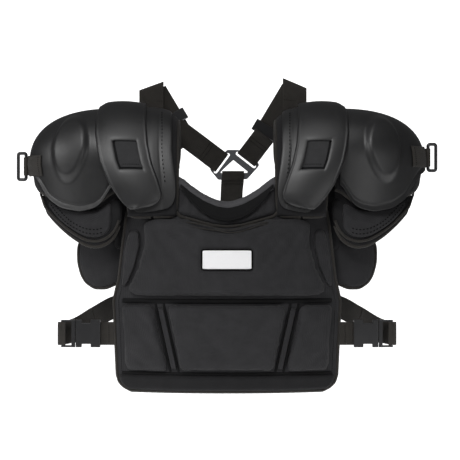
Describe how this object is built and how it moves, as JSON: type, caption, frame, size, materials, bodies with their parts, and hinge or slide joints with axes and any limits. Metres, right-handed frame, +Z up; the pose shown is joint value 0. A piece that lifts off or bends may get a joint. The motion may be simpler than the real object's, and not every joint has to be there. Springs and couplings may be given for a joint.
{
  "type": "chest and shoulder protector",
  "caption": "Padded chest apron with hard shoulder arches, lifting shoulder caps, upper-arm pads, rib wings, side-release waist belt and back harness with a triangular ring.",
  "frame": {"origin": "middle of the neck opening, level with the lowest point of the collar rim, where the wearer's neck passes", "axes": "+Z up as worn, -Y the way the wearer faces, +X towards the right as seen from the front"},
  "size_m": [0.7016, 0.2399, 0.5245],
  "materials": {
    "fabric": "woven nylon over foam",
    "lining": "brushed mesh lining",
    "webbing": "ribbed webbing",
    "label": "woven label",
    "shell_plastic": "satin moulded polyethylene",
    "insert_plastic": "stiff sheet",
    "buckle_plastic": "moulded acetal",
    "ring_plastic": "moulded acetal, dark grey"
  },
  "bodies": {
    "chest": {"chest_lining": "lining", "chest_insert": "insert_plastic", "chest_backing": "fabric", "upper_panel": "fabric", "lower_center_panel": "fabric", "lower_panel_L": "fabric", "lower_panel_R": "fabric", "side_strip_L": "fabric", "side_strip_R": "fabric", "bottom_band": "fabric", "collar_front": "fabric", "collar_roll": "fabric", "label_patch": "label", "yoke_pad_L": "fabric", "yoke_pad_R": "fabric", "under_plate_L": "shell_plastic", "under_plate_R": "shell_plastic", "harness_tab_L": "webbing", "harness_tab_R": "webbing", "shoulder_strap_L": "webbing", "shoulder_strap_R": "webbing", "ring_strap_L": "webbing", "ring_strap_R": "webbing", "ring": "ring_plastic", "back_strap": "webbing", "back_belt": "webbing", "belt_stub_L": "webbing", "belt_stub_R": "webbing", "buckle_socket_L": "buckle_plastic", "buckle_socket_R": "buckle_plastic"},
    "arch_L": {"arch_plate_L": "shell_plastic", "arch_strap_L": "webbing"},
    "cap_L": {"cap_shell_L": "shell_plastic", "cap_pad_L": "fabric", "cap_tab_L": "webbing"},
    "armguard_L": {"arm_pad_L": "fabric", "arm_panel_L": "fabric"},
    "loop_L": {"arm_loop_L": "buckle_plastic"},
    "wing_L": {"wing_pad_L": "fabric"},
    "clip_L": {"buckle_clip_L": "buckle_plastic", "belt_fold_L": "webbing"},
    "slider_L": {"strap_slider_L": "buckle_plastic"},
    "arch_R": {"arch_plate_R": "shell_plastic", "arch_strap_R": "webbing"},
    "cap_R": {"cap_shell_R": "shell_plastic", "cap_pad_R": "fabric", "cap_tab_R": "webbing"},
    "armguard_R": {"arm_pad_R": "fabric", "arm_panel_R": "fabric"},
    "loop_R": {"arm_loop_R": "buckle_plastic"},
    "wing_R": {"wing_pad_R": "fabric"},
    "clip_R": {"buckle_clip_R": "buckle_plastic", "belt_fold_R": "webbing"},
    "slider_R": {"strap_slider_R": "buckle_plastic"}
  },
  "joints": [
    {"name": "cap_lift_L", "type": "hinge", "parent": "chest", "child": "cap_L", "pos_m": [-0.212, 0, 0.157], "axis": [0, 1, 0], "range_deg": [0, 45]},
    {"name": "arch_lift_L", "type": "hinge", "parent": "chest", "child": "arch_L", "pos_m": [-0.112, 0, 0.163], "axis": [0, 1, 0], "range_deg": [0, 11.25]},
    {"name": "armguard_swing_L", "type": "hinge", "parent": "cap_L", "child": "armguard_L", "pos_m": [-0.245, -0.062, -0.006], "axis": [-0.9404, 0.3401, 0], "range_deg": [0, 20]},
    {"name": "loop_swing_L", "type": "hinge", "parent": "cap_L", "child": "loop_L", "pos_m": [-0.3355, 0, 0.06], "axis": [0, 0, 1], "range_deg": [-40, 40]},
    {"name": "wing_swing_L", "type": "hinge", "parent": "chest", "child": "wing_L", "pos_m": [-0.166, -0.036, -0.1], "axis": [0, 0, -1], "range_deg": [0, 30]},
    {"name": "clip_pull_L", "type": "slide", "parent": "chest", "child": "clip_L", "axis": [-1, 0, 0], "range_m": [0, 0.028]},
    {"name": "slider_slide_L", "type": "slide", "parent": "chest", "child": "slider_L", "axis": [-0.5077, -0.1362, 0.8507], "range_m": [0, 0.012]},
    {"name": "cap_lift_R", "type": "hinge", "parent": "chest", "child": "cap_R", "pos_m": [0.212, 0, 0.157], "axis": [0, -1, 0], "range_deg": [0, 45]},
    {"name": "arch_lift_R", "type": "hinge", "parent": "chest", "child": "arch_R", "pos_m": [0.096, 0, 0.163], "axis": [0, -1, 0], "range_deg": [0, 11.25]},
    {"name": "armguard_swing_R", "type": "hinge", "parent": "cap_R", "child": "armguard_R", "pos_m": [0.245, -0.062, -0.006], "axis": [-0.9404, -0.3401, 0], "range_deg": [0, 20]},
    {"name": "loop_swing_R", "type": "hinge", "parent": "cap_R", "child": "loop_R", "pos_m": [0.3355, 0, 0.075], "axis": [0, 0, 1], "range_deg": [-40, 40]},
    {"name": "wing_swing_R", "type": "hinge", "parent": "chest", "child": "wing_R", "pos_m": [0.166, -0.036, -0.1], "axis": [0, 0, 1], "range_deg": [0, 30]},
    {"name": "clip_pull_R", "type": "slide", "parent": "chest", "child": "clip_R", "axis": [1, 0, 0], "range_m": [0, 0.028]},
    {"name": "slider_slide_R", "type": "slide", "parent": "chest", "child": "slider_R", "axis": [0.5081, -0.1577, 0.8468], "range_m": [0, 0.012]}
  ],
  "couplings": [
    {"joint": "arch_lift_L", "follows": "cap_lift_L", "ratio": 0.25},
    {"joint": "arch_lift_R", "follows": "cap_lift_R", "ratio": 0.25}
  ]
}
